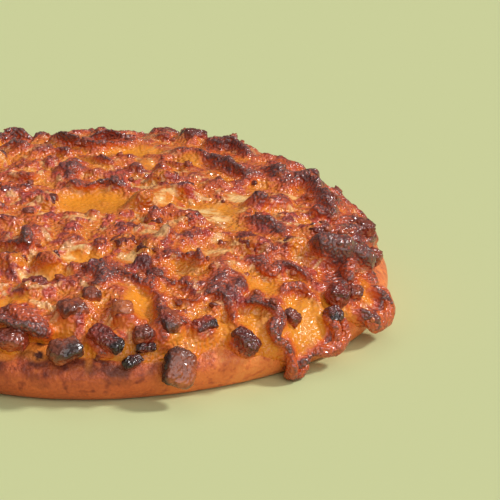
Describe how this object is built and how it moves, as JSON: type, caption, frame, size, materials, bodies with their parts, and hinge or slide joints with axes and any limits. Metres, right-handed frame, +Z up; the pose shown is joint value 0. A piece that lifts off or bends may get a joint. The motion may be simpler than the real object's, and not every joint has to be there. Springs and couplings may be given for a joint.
{
  "type": "mini pizza",
  "caption": "Small round baked pizza with a domed crust, browned melted cheese that drips at the rim, and diced salami.",
  "frame": {"origin": "middle of the flat underside, where the pizza rests", "axes": "+Z up through the middle of the crown; -Y towards the side seen in the picture"},
  "size_m": [0.1388, 0.1443, 0.0249],
  "materials": {
    "crust": "matte",
    "cheese": "satin",
    "salami": "satin"
  },
  "bodies": {
    "root": {"cheese_topping": "cheese", "dough_base": "crust", "salami_01": "salami", "salami_02": "salami", "salami_03": "salami", "salami_04": "salami", "salami_05": "salami", "salami_06": "salami", "salami_07": "salami", "salami_08": "salami", "salami_09": "salami", "salami_10": "salami", "salami_11": "salami", "salami_12": "salami", "salami_13": "salami", "salami_14": "salami", "salami_15": "salami", "salami_16": "salami", "salami_17": "salami", "salami_18": "salami", "salami_19": "salami", "salami_20": "salami", "salami_21": "salami", "salami_22": "salami", "salami_23": "salami", "salami_24": "salami", "salami_25": "salami", "salami_26": "salami", "salami_27": "salami", "salami_28": "salami", "salami_29": "salami", "salami_30": "salami", "salami_31": "salami", "salami_32": "salami", "salami_33": "salami", "salami_34": "salami", "salami_35": "salami", "salami_36": "salami", "salami_37": "salami", "salami_38": "salami", "salami_39": "salami", "salami_40": "salami", "salami_41": "salami", "salami_42": "salami", "salami_43": "salami", "salami_44": "salami", "salami_45": "salami", "salami_46": "salami"}
  },
  "joints": []
}
